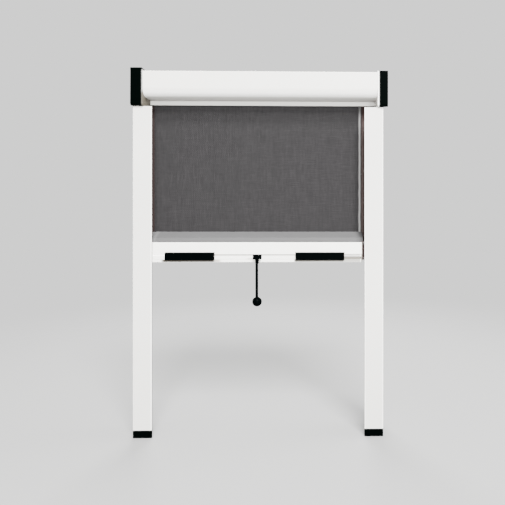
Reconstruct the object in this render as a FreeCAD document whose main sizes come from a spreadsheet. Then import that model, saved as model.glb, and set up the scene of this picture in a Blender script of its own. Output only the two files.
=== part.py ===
import FreeCAD, Part
import os
import math
import Sketcher

# Small roller insect screen for a window: a cassette with a sprung roller,
# two side guides on feet, and a pull bar that draws the mesh down.
# Millimetres. +X right, +Y towards the wall, +Z up; the feet stand at Z = 0.
# Depth is counted as D from the front of the end caps, so Y = D - depth / 2.

doc = FreeCAD.newDocument("roller_screen")
sheet = doc.addObject("Spreadsheet::Sheet", "Dims")

SIZES = [
    # overall
    ("depth", 48.0), ("half_width", 156.5),
    # end caps and side plates
    ("cap_bottom", 405.0), ("cap_top", 449.6), ("cap_top_left", 451.8), ("cap_left_thick", 13.0), ("cap_right_thick", 10.0),
    ("cap_round", 3.0), ("cap_wall", 2.2), ("cap_rise", 13.2), ("plate_left", 1.6), ("plate_right", 2.4), ("plate_inset", 0.4),
    ("tongue_drop", 17.0), ("keyhole", 12.2), ("pass_front", 28.8), ("pass_back", 32.4),
    # cassette
    ("cas_front", 1.2), ("cas_back", 46.8), ("cas_top", 447.7), ("cas_under", 417.4),
    ("cas_wall", 1.2), ("cas_nose", 9.5), ("cas_crown", 1.5),
    ("lip_front", 26.6), ("lip_back", 28.0), ("lip_bottom", 411.8),
    ("slot_back", 34.8), ("slot_shelf", 411.5), ("slot_top", 416.5), ("cas_skirt", 405.5),
    ("port_round", 3.3), ("port_bore", 1.45), ("port_front", 5.4), ("port_back", 42.6), ("port_high", 443.5),
    # roller
    ("roll_deep", 19.2), ("roll_high", 432.5), ("tube_left", -152.2), ("tube_right", 139.9),
    ("tube_round", 9.5), ("tube_bore", 8.3),
    ("roll_round", 11.0), ("pin_round", 3.0), ("shaft_round", 3.5), ("run_gap", 0.05),
    # mesh
    ("mesh_deep", 30.5), ("mesh_thick", 0.34), ("mesh_left", -138.5), ("mesh_right", 126.1),
    ("band_wide", 13.4), ("band_thick", 0.5), ("hem_top", 239.3),
    ("tape_wide", 3.2), ("tape_place", 122.1),
    # guides
    ("guide_wide", 23.3), ("guide_front", 4.0), ("guide_back", 44.0), ("guide_wall", 1.5),
    ("guide_round", 1.4), ("guide_left", -155.2), ("guide_right", 127.8),
    ("guide_top", 404.9), ("foot_tall", 8.4), ("fix_round", 2.25), ("fix_low", 80.0), ("fix_apart", 260.0),
    ("fix_deep", 18.0),
    # bar
    ("bar_left", -133.6), ("bar_right", 125.5), ("bar_front", 7.0), ("bar_back", 38.5),
    ("bar_low", 214.1), ("bar_high", 238.6), ("bar_wall", 1.3), ("end_thick", 2.0),
    ("ridge_high", 251.6), ("bead_round", 2.2), ("score_high", 223.05), ("score_half", 0.8), ("score_deep", 0.35),
    ("seal_left", -140.5), ("seal_right", 126.6),
    ("handle_long", 59.4), ("handle_low", 216.7), ("handle_tall", 9.4), ("handle_draft", 1.1), ("handle_front", 2.6),
    ("handle_left", -116.1), ("handle_right", 43.3),
    ("clip_mid", -3.9), ("clip_wide", 9.9), ("clip_low", 218.0), ("clip_high", 223.4),
    ("cord_mid", -4.4), ("cord_round", 1.6), ("cord_deep", 4.9), ("cord_top", 213.0), ("cord_end", 171.6),
    ("ball_mid", -4.0), ("ball_round", 5.9), ("ball_high", 166.0),
]
D = {}
for row, (name, value) in enumerate(SIZES, 1):
    sheet.set("A%d" % row, name)
    sheet.set("B%d" % row, str(value))
    sheet.setAlias("B%d" % row, name)
    D[name] = value
doc.recompute()


class Q:
    """A length with its number and its expression in the sheet's terms."""

    def __init__(self, value, text=None):
        if isinstance(value, Q):
            self.v, self.t = value.v, value.t
        elif isinstance(value, str):
            self.v, self.t = D[value], "Dims." + value
        else:
            self.v = float(value)
            self.t = text or "(%r)" % float(value)

    def __add__(self, other):
        other = Q(other)
        return Q(self.v + other.v, "(%s + %s)" % (self.t, other.t))

    def __sub__(self, other):
        other = Q(other)
        return Q(self.v - other.v, "(%s - %s)" % (self.t, other.t))

    def __mul__(self, k):
        k = Q(k)
        return Q(self.v * k.v, "(%s * %s)" % (self.t, k.t))

    def __truediv__(self, k):
        k = Q(k)
        return Q(self.v / k.v, "(%s / %s)" % (self.t, k.t))

    def __neg__(self):
        return Q(-self.v, "(0 - %s)" % self.t)


def q(x):
    return Q(x)


HALF_DEPTH = q("depth") / 2
PIECES = []


def keep(obj, label):
    obj.Label = label
    PIECES.append(obj)
    return obj


def put(obj, x=0.0, y=0.0, z=0.0):
    """Binds where an object sits."""
    for axis, value in (("x", x), ("y", y), ("z", z)):
        obj.setExpression("Placement.Base." + axis, q(value).t)
    return obj


def moved(obj, x, y, z):
    obj.Placement = FreeCAD.Placement(
        FreeCAD.Vector(q(x).v, q(y).v, q(z).v), FreeCAD.Rotation()
    )
    return put(obj, x, y, z)


def box(name, x0, x1, y0, y1, z0, z1):
    b = doc.addObject("Part::Box", name)
    b.setExpression("Length", (q(x1) - x0).t)
    b.setExpression("Width", (q(y1) - y0).t)
    b.setExpression("Height", (q(z1) - z0).t)
    return moved(b, x0, y0, z0)


def dbox(name, x0, x1, d0, d1, z0, z1):
    """A box whose depth is counted from the front."""
    return box(name, x0, x1, q(d0) - HALF_DEPTH, q(d1) - HALF_DEPTH, z0, z1)


TURN_X = FreeCAD.Rotation(FreeCAD.Vector(0, 1, 0), 90)


def rod(name, r, x0, x1, d, z):
    """A round bar along X."""
    c = doc.addObject("Part::Cylinder", name)
    c.setExpression("Radius", q(r).t)
    c.setExpression("Height", (q(x1) - x0).t)
    c.Placement = FreeCAD.Placement(
        FreeCAD.Vector(q(x0).v, (q(d) - HALF_DEPTH).v, q(z).v), TURN_X
    )
    return put(c, x0, q(d) - HALF_DEPTH, z)


def peg(name, r, x, d, z0, z1):
    """A round bar along Z."""
    c = doc.addObject("Part::Cylinder", name)
    c.setExpression("Radius", q(r).t)
    c.setExpression("Height", (q(z1) - z0).t)
    return moved(c, x, q(d) - HALF_DEPTH, z0)


def fuse(name, *shapes):
    f = doc.addObject("Part::MultiFuse", name)
    f.Shapes = list(shapes)
    f.Refine = True
    return f


def cut(name, base, *tools):
    tool = tools[0] if len(tools) == 1 else fuse(name + "_tool", *tools)
    c = doc.addObject("Part::Cut", name)
    c.Base, c.Tool = base, tool
    c.Refine = True
    return c


def group(name, *solids):
    g = doc.addObject("Part::Compound", name)
    g.Links = list(solids)
    return g


def origin_plane(body, role):
    for f in body.Origin.OriginFeatures:
        if f.Role == role:
            return f
    raise RuntimeError(role)


def tie(sk, geo, pos, x, y):
    """Holds a sketch point at x, y, both bound to the sheet."""
    for kind, value in (("DistanceX", q(x)), ("DistanceY", q(y))):
        n = sk.addConstraint(Sketcher.Constraint(kind, -1, 1, geo, pos, value.v))
        sk.setExpression("Constraints[%d]" % n, value.t)


def draw(body, name, role, loops, offset=None):
    """A sketch on a plane of the body's own origin. A loop is a list of points; a point may carry the radius of the arc that leads on from it, positive where the path turns left. A circle is ("circle", x, y, r)."""
    sk = body.newObject("Sketcher::SketchObject", name)
    sk.AttachmentSupport = [(origin_plane(body, role), "")]
    sk.MapMode = "FlatFace"
    if offset is not None:
        sk.setExpression("AttachmentOffset.Base.z", q(offset).t)
    for loop in loops:
        if loop[0] == "circle":
            _, x, y, r = loop
            x, y, r = q(x), q(y), q(r)
            g = sk.addGeometry(
                Part.Circle(FreeCAD.Vector(x.v, y.v, 0), FreeCAD.Vector(0, 0, 1), r.v), False
            )
            tie(sk, g, 3, x, y)
            n = sk.addConstraint(Sketcher.Constraint("Radius", g, r.v))
            sk.setExpression("Constraints[%d]" % n, r.t)
            continue
        pts = [(q(p[0]), q(p[1]), q(p[2]) if len(p) > 2 else None) for p in loop]
        made = []
        for k, (x, y, r) in enumerate(pts):
            nx, ny = pts[(k + 1) % len(pts)][:2]
            a, b = FreeCAD.Vector(x.v, y.v, 0), FreeCAD.Vector(nx.v, ny.v, 0)
            if r is None:
                g = sk.addGeometry(Part.LineSegment(a, b), False)
                made.append((g, 1, 2))
                continue
            left = r.v > 0
            rad = abs(r.v)
            mid, span = (a + b) * 0.5, (b - a).Length
            rise = math.sqrt(max(rad * rad - span * span / 4, 0.0))
            side = FreeCAD.Vector(-(b - a).y, (b - a).x, 0).normalize()
            centre = mid + side * (rise if left else -rise)
            p, e = (a, b) if left else (b, a)
            t0 = math.atan2(p.y - centre.y, p.x - centre.x)
            t1 = math.atan2(e.y - centre.y, e.x - centre.x)
            if t1 < t0:
                t1 += 2 * math.pi
            circle = Part.Circle(centre, FreeCAD.Vector(0, 0, 1), rad)
            g = sk.addGeometry(Part.ArcOfCircle(circle, t0, t1), False)
            n = sk.addConstraint(Sketcher.Constraint("Radius", g, rad))
            sk.setExpression("Constraints[%d]" % n, r.t if left else (-r).t)
            made.append((g, 1, 2) if left else (g, 2, 1))
        for k, (g, start, end) in enumerate(made):
            ng, nstart, _ = made[(k + 1) % len(made)]
            sk.addConstraint(Sketcher.Constraint("Coincident", g, end, ng, nstart))
            tie(sk, g, start, pts[k][0], pts[k][1])
    return sk


def volume(body):
    doc.recompute()
    return body.Shape.Volume if body.Shape and not body.Shape.isNull() else 0.0


def pad(body, name, role, loops, length, offset=None, back=False):
    before = volume(body)
    sk = draw(body, name + "_sketch", role, loops, offset)
    f = body.newObject("PartDesign::Pad", name)
    f.Profile = sk
    f.Reversed = back
    f.setExpression("Length", q(length).t)
    body.Tip = f
    if volume(body) <= before:
        raise RuntimeError(name + " adds nothing")
    return f


def pocket(body, name, role, loops, length=None, offset=None, back=False):
    before = volume(body)
    sk = draw(body, name + "_sketch", role, loops, offset)
    f = body.newObject("PartDesign::Pocket", name)
    f.Profile = sk
    if length is None:
        f.Type = "ThroughAll"
        f.Midplane = True
    else:
        f.Reversed = back
        f.setExpression("Length", q(length).t)
    body.Tip = f
    if volume(body) >= before - 1e-6:
        raise RuntimeError(name + " cuts nothing")
    return f


def new_body(label, x=0.0, z=0.0, deep=True):
    b = doc.addObject("PartDesign::Body", label)
    moved(b, x, (q(0) - HALF_DEPTH) if deep else q(0), z)
    return keep(b, label)


def rounded(x0, x1, y0, y1, r):
    """A rectangle with round corners, run clockwise."""
    x0, x1, y0, y1, r = q(x0), q(x1), q(y0), q(y1), q(r)
    return [
        (x0 + r, y0, None), (x0, y0 + r, None), (x0, y1 - r, None), (x0 + r, y1, None),
        (x1 - r, y1, None), (x1, y1 - r, None), (x1, y0 + r, None), (x1 - r, y0, None),
    ], r


def round_rect(x0, x1, y0, y1, r):
    pts, r = rounded(x0, x1, y0, y1, r)
    out = []
    for k, (x, y, _) in enumerate(pts):
        out.append((x, y, -r) if k % 2 == 0 else (x, y))
    return out


def rect(x0, x1, y0, y1):
    return [(x0, y0), (x0, y1), (x1, y1), (x1, y0)]


# Where the pieces stand along X.
cap_l0 = -q("half_width")
cap_l1 = cap_l0 + "cap_left_thick"
cap_r1 = q("half_width")
cap_r0 = cap_r1 - "cap_right_thick"
cas_l = cap_l1 + "plate_left"
cas_r = cap_r0 - "plate_right"

# ---------------------------------------------------------------- cassette
# An extruded box with a flat front, a round nose, a flat underside that ends
# in a hanging lip, the slot that the mesh comes out of, and a back wall.
w = q("cas_wall")
cassette = new_body("cassette", cas_l)
nose_d = q("cas_front") + "cas_nose"
nose_z = q("cas_under") + "cas_nose"
pad(
    cassette, "cassette_wall", "YZ_Plane",
    [[
        ("lip_front", "lip_bottom"),
        ("lip_front", "cas_under"),
        (nose_d, "cas_under", -q("cas_nose")),
        ("cas_front", nose_z),
        ("cas_front", q("cas_top") - "cas_crown", -q("cas_crown")),
        (q("cas_front") + "cas_crown", "cas_top"),
        (q("cas_back") - "cas_crown", "cas_top", -q("cas_crown")),
        ("cas_back", q("cas_top") - "cas_crown"),
        ("cas_back", "cas_skirt"),
        (q("cas_back") - w, "cas_skirt"),
        (q("cas_back") - w, "slot_shelf"),
        ("slot_back", "slot_shelf"),
        ("slot_back", "slot_top"),
        (q("slot_back") + w, "slot_top"),
        (q("slot_back") + w, q("slot_shelf") + w),
        (q("cas_back") - w, q("slot_shelf") + w),
        (q("cas_back") - w, q("cas_top") - w),
        (q("cas_front") + w, q("cas_top") - w),
        (q("cas_front") + w, nose_z, q("cas_nose") - w),
        (nose_d, q("cas_under") + w),
        ("lip_back", q("cas_under") + w),
        ("lip_back", "lip_bottom"),
    ]],
    cas_r - cas_l,
)
pad(
    cassette, "screw_ports", "YZ_Plane",
    [("circle", "port_front", "port_high", q("port_round") - 0.2),
     ("circle", "port_back", "port_high", q("port_round") - 0.2)],
    cas_r - cas_l,
)
pocket(
    cassette, "screw_bores", "YZ_Plane",
    [("circle", "port_front", "port_high", "port_bore"),
     ("circle", "port_back", "port_high", "port_bore")],
)

# ---------------------------------------------------- side plates, both ends
# The left plate has a keyhole that the roll and the mesh pass through, so the
# mesh can reach into the groove of the left guide. The right plate holds the
# square end of the shaft.
left_plate = new_body("left_side_plate", cap_l1)
inset = q("plate_inset")
plate_loop = round_rect(inset, q("depth") - inset, q("cap_bottom") + 0.1, q("cap_top") - 0.5, 2.6)
pad(left_plate, "left_plate", "YZ_Plane", [plate_loop], "plate_left")
pocket(
    left_plate, "left_plate_holes", "YZ_Plane",
    [("circle", "roll_deep", "roll_high", "keyhole"),
     ("circle", "port_front", "port_high", 1.9), ("circle", "port_back", "port_high", 1.9)],
)
pocket(
    left_plate, "left_plate_pass", "YZ_Plane",
    [rect("pass_front", "pass_back", q("cap_bottom") - 1.0, "roll_high")],
)

right_plate = new_body("right_side_plate", cas_r)
pad(right_plate, "right_plate", "YZ_Plane", [plate_loop], "plate_right")
pad(right_plate, "right_boss", "YZ_Plane", [("circle", "roll_deep", "roll_high", 6.5)], 2.6, back=True)
pocket(
    right_plate, "right_plate_holes", "YZ_Plane",
    [rect(q("roll_deep") - 2.6, q("roll_deep") + 2.6, q("roll_high") - 2.6, q("roll_high") + 2.6),
     ("circle", "port_front", "port_high", 1.9), ("circle", "port_back", "port_high", 1.9)],
)

# ------------------------------------------------------------------ end caps
# Deep moulded covers with a hollow inside, sunk seats for the screws and a
# tongue that drops into the guide. The skirt that stands out past the guide
# has an underside that rises towards the wall. The left cap stands a little
# taller over the cassette than the right one.


def end_cap(label, x0, thick, inner_side, past, top="cap_top"):
    b = new_body(label, x0)
    outer = round_rect(0.0, "depth", "cap_bottom", top, "cap_round")
    pad(b, label + "_shell", "YZ_Plane", [outer], thick)
    wall = q("cap_wall")
    hollow = round_rect(wall, q("depth") - wall, q("cap_bottom") + wall, q("cap_top") - wall, 1.6)
    deep = q(thick) - wall
    if inner_side > 0:
        pocket(b, label + "_hollow", "YZ_Plane", [hollow], deep, offset=thick)
        start = wall
    else:
        pocket(b, label + "_hollow", "YZ_Plane", [hollow], deep, offset=0.0, back=True)
        start = q(0)
    posts = [("circle", "port_front", "port_high", 4.4), ("circle", "port_back", "port_high", 4.4)]
    if inner_side < 0:
        posts.append(("circle", "roll_deep", "roll_high", 6.0))
    pad(b, label + "_posts", "YZ_Plane", posts, deep, offset=start)
    low, rise = q("cap_bottom"), q("cap_rise")
    far = q("depth") + 1.0
    if inner_side < 0:
        # the wall over the cut and the wall beside it
        skin = q(past) + wall
        pad(b, label + "_skirt_wall", "YZ_Plane",
            [[(0.5, low + 0.4), (0.5, low + 0.4 + wall), (q("depth") - 0.5, low + rise + wall), (q("depth") - 0.5, low + 0.4)]],
            skin - 0.1, offset=q(thick) - skin)
    skirt = [[(2.5, low - 1.0), (2.5, low + 0.3), (far, low + rise + 0.3), (far, low - 1.0)]]
    if inner_side > 0:
        pocket(b, label + "_skirt", "YZ_Plane", skirt, past, offset=0.0, back=True)
    else:
        pocket(b, label + "_skirt", "YZ_Plane", skirt, past, offset=thick)
    # clear holes for the screws and their sunk seats on the outside
    pocket(b, label + "_screw_holes", "YZ_Plane",
           [("circle", "port_front", "port_high", 1.9), ("circle", "port_back", "port_high", 1.9)])
    seats = [("circle", "port_front", "port_high", 3.4), ("circle", "port_back", "port_high", 3.4)]
    if inner_side > 0:
        pocket(b, label + "_seats", "YZ_Plane", seats, 2.6, offset=0.0, back=True)
    else:
        pocket(b, label + "_seats", "YZ_Plane", seats, 2.6, offset=thick)
    return b


left_cap = end_cap("left_end_cap", cap_l0, "cap_left_thick", 1, q("guide_left") - cap_l0, top="cap_top_left")
pad(left_cap, "left_collar", "YZ_Plane", [("circle", "roll_deep", "roll_high", 5.0)], 1.3, offset="cap_wall")
pocket(left_cap, "left_pin_seat", "YZ_Plane",
       [("circle", "roll_deep", "roll_high", q("pin_round") + "run_gap")], 2.8, offset=q("cap_wall") + 1.3)
pocket(left_cap, "left_mesh_pass", "XY_Plane",
       [rect(3.4, q("cap_left_thick") + 1.0, "pass_front", "pass_back")], 6.0, offset=q("cap_bottom") - 1.0, back=True)
pad(left_cap, "left_tongue", "XY_Plane",
    [rect(3.8, 9.8, 9.0, 22.0)], q("tongue_drop") + 2.0, offset=q("cap_bottom") + 2.0, back=True)

right_cap = end_cap("right_end_cap", cap_r0, "cap_right_thick", -1, cap_r1 - (q("guide_right") + "guide_wide"))
pocket(right_cap, "right_shaft_seat", "YZ_Plane",
       [rect(q("roll_deep") - 2.6, q("roll_deep") + 2.6, q("roll_high") - 2.6, q("roll_high") + 2.6)],
       6.5, offset=0.0, back=True)
pad(right_cap, "right_tongue", "XY_Plane",
    [rect(0.2, 2.6, 9.0, 22.0)], q("tongue_drop") + 2.0, offset=q("cap_bottom") + 2.0, back=True)

# Pan-head screws, two at each end, driven into the cassette's ports.


def screw(name, x_head, way, d, z, reach):
    """way is +1 where the screw points to +X."""
    if way > 0:
        head = rod(name + "_head", 3.1, x_head, q(x_head) + 2.0, d, z)
        shank = rod(name + "_shank", 1.4, q(x_head) + 1.9, q(x_head) + reach, d, z)
        slot = dbox(name + "_slot", q(x_head) - 0.1, q(x_head) + 1.0, q(d) - 0.4, q(d) + 0.4, q(z) - 2.2, q(z) + 2.2)
        cross = dbox(name + "_cross", q(x_head) - 0.1, q(x_head) + 1.0, q(d) - 2.2, q(d) + 2.2, q(z) - 0.4, q(z) + 0.4)
    else:
        head = rod(name + "_head", 3.1, q(x_head) - 2.0, x_head, d, z)
        shank = rod(name + "_shank", 1.4, q(x_head) - reach, q(x_head) - 1.9, d, z)
        slot = dbox(name + "_slot", q(x_head) - 1.0, q(x_head) + 0.1, q(d) - 0.4, q(d) + 0.4, q(z) - 2.2, q(z) + 2.2)
        cross = dbox(name + "_cross", q(x_head) - 1.0, q(x_head) + 0.1, q(d) - 2.2, q(d) + 2.2, q(z) - 0.4, q(z) + 0.4)
    return cut(name, fuse(name + "_solid", head, shank), slot, cross)


seat_l = cap_l0 + 0.6
seat_r = cap_r1 - 0.6
keep(
    group(
        "screws_ends",
        screw("screw_lf", seat_l, 1, "port_front", "port_high", 24.0),
        screw("screw_lb", seat_l, 1, "port_back", "port_high", 24.0),
        screw("screw_rf", seat_r, -1, "port_front", "port_high", 24.0),
        screw("screw_rb", seat_r, -1, "port_back", "port_high", 24.0),
    ),
    "end_cap_screws",
)

# -------------------------------------------------------------------- guides
# U sections, open towards the middle. The rib behind the front flange and the
# first web guide the tongue of the bar; the two webs make the groove that the
# edge band of the mesh runs in. The back parts are shorter than the front.


def guide(label, x0, flip):
    W = q("guide_wide")

    def u(a):
        return W - a if flip else q(a)

    t, f, b, r = q("guide_wall"), q("guide_front"), q("guide_back"), q("guide_round")
    g = new_body(label, x0, "foot_tall")
    turn = r if flip else -r
    path = [
        (u(0.0), f + r, turn),
        (u(r), f),
        (u(W - r), f, turn),
        (u(W), f + r),
        (u(W), f + t),
        (u(17.7), f + t),
        (u(17.7), 9.3),
        (u(21.0), 9.3),
        (u(21.0), 10.5),
        (u(16.5), 10.5),
        (u(16.5), f + t),
        (u(t), f + t),
        (u(t), 26.0),
        (u(14.6), 26.0),
        (u(14.6), 27.2),
        (u(t), 27.2),
        (u(t), 33.8),
        (u(11.6), 33.8),
        (u(11.6), 35.0),
        (u(t), 35.0),
        (u(t), b - t),
        (u(8.3), b - t),
        (u(8.3), b),
        (u(0.0), b),
    ]
    # the path runs from the outer front corner round to the outer back corner
    path = [(p[0], p[1], -p[2]) if len(p) > 2 else p for p in path]
    pad(g, label + "_section", "XY_Plane", [path], q("guide_top") - "foot_tall")
    low = q("fix_low") - "foot_tall"
    holes = [("circle", "fix_deep", low, "fix_round"), ("circle", "fix_deep", low + "fix_apart", "fix_round")]
    if flip:
        pocket(g, label + "_fixings", "YZ_Plane", holes, 4.0, offset=W + 1.0)
    else:
        pocket(g, label + "_fixings", "YZ_Plane", holes, 4.0, offset=-1.0, back=True)
    return g


guide("left_guide", "guide_left", False)
guide("right_guide", "guide_right", True)

gl = q("guide_left")
gr = q("guide_right") + "guide_wide"
g0, g1 = q("foot_tall") + 0.2, q("guide_top") - 0.2

# Groove piles: two strips a side that hold the edge band between them.


def groove_piles(label, sign):
    def span(a, b):
        return (gl + a, gl + b) if sign > 0 else (gr - b, gr - a)

    half = q("band_thick") / 2
    x0, x1 = span(8.2, 13.8)
    front = dbox(label + "_front", x0, x1, 27.25, q("mesh_deep") - half - 0.06, g0, g1)
    x0, x1 = span(8.2, 11.4)
    back = dbox(label + "_back", x0, x1, q("mesh_deep") + half + 0.06, 33.75, g0, g1)
    return keep(group(label + "_pair", front, back), label)


groove_piles("left_groove_piles", 1)
groove_piles("right_groove_piles", -1)

# ---------------------------------------------------------------------- feet
# A plate under each guide with two plugs up inside it.


def foot(label, x0, flip):
    W = q("guide_wide")

    def span(a, b):
        return (W - b, W - a) if flip else (q(a), q(b))

    def u(a):
        return W - a if flip else q(a)

    fr, bk, r = q("guide_front"), q("guide_back"), q("guide_round")
    turn = -r if flip else r
    f = new_body(label, x0)
    pad(f, label + "_plate", "XY_Plane",
        [[
            (u(0.0), fr + r, turn),
            (u(r), fr),
            (u(W - r), fr, turn),
            (u(W), fr + r),
            (u(W), fr + 1.9),
            (u(8.3), bk),
            (u(0.0), bk),
        ]], "foot_tall")
    x0a, x1a = span(1.9, 5.9)
    x0b, x1b = span(1.9, 8.0)
    pad(f, label + "_plugs", "XY_Plane",
        [rect(x0a, x1a, 6.2, 25.4), rect(x0b, x1b, 35.5, 42.0)], 12.0, offset="foot_tall")
    return f


foot("left_foot", "guide_left", False)
foot("right_foot", "guide_right", True)

# --------------------------------------------------- slot pile of the cassette
slot_pile = fuse(
    "slot_pile_solid",
    dbox("slot_pile_base", cas_l + 1.0, cas_r - 1.0, q("slot_back") - 1.2, q("slot_back") - 0.05, 412.4, 415.8),
    dbox("slot_pile_fibre", cas_l + 1.0, cas_r - 1.0, q("mesh_deep") + 0.35, q("slot_back") - 1.1, 413.0, 415.2),
)
keep(slot_pile, "slot_pile")

# -------------------------------------------------------------------- roller
rd, rz = "roll_deep", "roll_high"
tube_l, tube_r = q("tube_left"), q("tube_right")
roll_l, roll_r = q("mesh_left") - "band_wide", q("mesh_right") + "band_wide"
tube = cut(
    "tube_ring",
    rod("tube_outer", "tube_round", tube_l, tube_r, rd, rz),
    rod("tube_inner", "tube_bore", tube_l - 1.0, tube_r + 1.0, rd, rz),
)
rib = dbox("tube_rib", tube_l, tube_r, q(rd) - 2.2, q(rd) + 2.2, q(rz) + 5.7, q(rz) + 8.7)
key = dbox("tube_key", tube_l - 1.0, tube_r + 1.0, q(rd) - 1.0, q(rd) + 1.0, q(rz) + 6.9, q(rz) + 11.0)
keep(cut("tube_solid", fuse("tube_ribbed", tube, rib), key), "roller_tube")


def tube_plug(name, r, x0, x1):
    """A plug body with the slot that clears the tube's inner rib."""
    return cut(
        name,
        rod(name + "_round", r, x0, x1, rd, rz),
        dbox(name + "_clear", q(x0) - 1.0, q(x1) + 1.0, q(rd) - 2.5, q(rd) + 2.5, q(rz) + 5.4, q(rz) + 12.0),
    )


keep(
    fuse(
        "idle_plug_solid",
        tube_plug("idle_body", q("tube_bore") - 0.02, tube_l, tube_l + 16.0),
        rod("idle_flange", "tube_round", tube_l - 0.7, tube_l, rd, rz),
        rod("idle_pin", "pin_round", tube_l - 3.4, tube_l - 0.6, rd, rz),
    ),
    "idle_plug",
)
keep(
    cut(
        "spring_plug_solid",
        fuse(
            "spring_plug_whole",
            tube_plug("spring_plug_body", q("tube_bore") - 0.02, tube_r - 14.0, tube_r),
            rod("spring_plug_flange", "tube_round", tube_r, tube_r + 1.0, rd, rz),
        ),
        rod("spring_plug_bore", q("shaft_round") + "run_gap", tube_r - 20.0, tube_r + 5.0, rd, rz),
    ),
    "spring_plug",
)

# The wound turns of the mesh are one sleeve on the tube.
keep(
    cut(
        "mesh_roll_solid",
        rod("mesh_roll_outer", "roll_round", roll_l, roll_r, rd, rz),
        rod("mesh_roll_inner", q("tube_round") + 0.02, roll_l - 1.0, roll_r + 1.0, rd, rz),
    ),
    "mesh_roll",
)

# The shaft stands still: its square end sits in the right plate and cap.
shaft_in = q(58.0)
square_from = cas_r - 3.1
shaft_out = cap_r0 + 6.0
keep(
    fuse(
        "shaft_solid",
        rod("shaft_rod", "shaft_round", shaft_in, square_from, rd, rz),
        dbox("shaft_square", square_from - 0.5, shaft_out, q(rd) - 2.45, q(rd) + 2.45, q(rz) - 2.45, q(rz) + 2.45),
    ),
    "spring_shaft",
)
keep(
    cut(
        "anchor_solid",
        rod("anchor_outer", 5.2, shaft_in + 4.0, shaft_in + 12.0, rd, rz),
        rod("anchor_bore", q("shaft_round") + 0.02, shaft_in + 3.0, shaft_in + 13.0, rd, rz),
    ),
    "spring_anchor",
)
keep(
    cut(
        "spring_solid",
        rod("spring_outer", 5.3, shaft_in + 12.1, tube_r - 14.4, rd, rz),
        rod("spring_inner", 3.9, shaft_in + 11.0, tube_r - 13.0, rd, rz),
    ),
    "torsion_spring",
)

# ---------------------------------------------------------------------- mesh
# The drawn length hangs from the back of the roll; its hem goes into the bar.
# A brown band on each edge runs in the guides, and a pale tape lies on the
# face near the right edge.
half = q("mesh_thick") / 2
mesh_front, mesh_rear = q("mesh_deep") - half, q("mesh_deep") + half
bl = q("bar_left") + "end_thick"
br = q("bar_right") - "end_thick"
keep(
    fuse(
        "mesh_sheet",
        dbox("mesh_panel", q("mesh_left") + 0.05, q("mesh_right") - 0.05, mesh_front, mesh_rear, "hem_top", "roll_high"),
        dbox("mesh_hem", bl + 0.2, br - 0.2, mesh_front, mesh_rear, q("hem_top") - 2.4, q("hem_top") + 0.1),
    ),
    "insect_mesh",
)
band_half = q("band_thick") / 2
keep(
    group(
        "band_pair",
        dbox("band_a", roll_l, "mesh_left", q("mesh_deep") - band_half, q("mesh_deep") + band_half, "hem_top", "roll_high"),
        dbox("band_b", "mesh_right", roll_r, q("mesh_deep") - band_half, q("mesh_deep") + band_half, "hem_top", "roll_high"),
    ),
    "mesh_edge_bands",
)
keep(
    dbox("tape_strip", "tape_place", q("tape_place") + "tape_wide", mesh_front - 0.24, mesh_front - 0.01, "hem_top", q("roll_high") - 11.0),
    "mesh_edge_tape",
)

# ----------------------------------------------------------------------- bar
bar = new_body("pull_bar", bl)
lo, hi, bf, bb, bw = q("bar_low"), q("bar_high"), q("bar_front"), q("bar_back"), q("bar_wall")
pad(
    bar, "bar_section", "YZ_Plane",
    [[
        (bf, lo + 0.5),
        (bf, lo + 3.8),
        (bf + 1.4, lo + 3.8),
        (bf + 1.4, lo + 2.5),
        (bf + 3.8, lo + 2.5),
        (bf + 3.8, lo + 8.5),
        (bf + 1.4, lo + 8.5),
        (bf + 1.4, lo + 6.9),
        (bf, lo + 6.9),
        (bf, q("score_high") - "score_half"),
        (bf + "score_deep", "score_high"),
        (bf, q("score_high") + "score_half"),
        (bf, hi - 1.2, -1.2),
        (bf + 1.2, hi),
        (28.4, hi),
        (28.4, hi - 1.4),
        (26.6, hi - 1.4),
        (26.6, hi - 6.4),
        (34.4, hi - 6.4),
        (34.4, hi - 1.4),
        (32.6, hi - 1.4),
        (32.6, hi),
        (bb - 0.8, hi, -0.8),
        (bb, hi - 0.8),
        (bb, lo + 0.8, -0.8),
        (bb - 0.8, lo),
        (25.0, lo),
        (25.0, lo + 1.2),
        (26.6, lo + 1.2),
        (26.6, lo + 3.8),
        (18.4, lo + 3.8),
        (18.4, lo + 1.2),
        (20.0, lo + 1.2),
        (20.0, lo),
        (bf + 0.5, lo),
    ], [
        (bf + bw, lo + 9.8),
        (bf + bw, hi - bw),
        (25.3, hi - bw),
        (25.3, hi - 7.7),
        (35.7, hi - 7.7),
        (35.7, hi - bw),
        (bb - bw, hi - bw),
        (bb - bw, lo + bw),
        (27.9, lo + bw),
        (27.9, lo + 5.1),
        (17.1, lo + 5.1),
        (17.1, lo + bw),
        (bf + 5.1, lo + bw),
        (bf + 5.1, lo + 9.8),
    ]],
    br - bl,
)

# Soft lips on top of the bar that close the slot when the screen is open.
x_all = q("seal_right") - "seal_left"
ridge = q("ridge_high")
front_seal = new_body("front_top_seal", "seal_left")
pad(
    front_seal, "front_seal_section", "YZ_Plane",
    [[
        (11.2, hi + 0.1),
        (13.2, 241.4),
        (14.9, 244.4),
        (28.6, ridge),
        (29.7, ridge),
        (29.7, hi + 0.1),
    ], [
        (14.6, hi + 1.3),
        (16.4, 243.6),
        (28.5, 250.1),
        (28.5, hi + 1.3),
    ]],
    x_all,
)
back_seal = new_body("back_top_seal", "seal_left")
pad(
    back_seal, "back_seal_section", "YZ_Plane",
    [[
        (31.3, hi + 0.1),
        (31.3, ridge),
        (32.4, ridge),
        (37.9, 241.0),
        (bb - 0.6, hi + 0.1),
    ]],
    x_all,
)

# The round bead that the lower hem of the mesh is wrapped on.
keep(rod("bead_rod", "bead_round", bl + 0.2, br - 0.2, "mesh_deep", hi - 3.9), "hem_bead")

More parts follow.
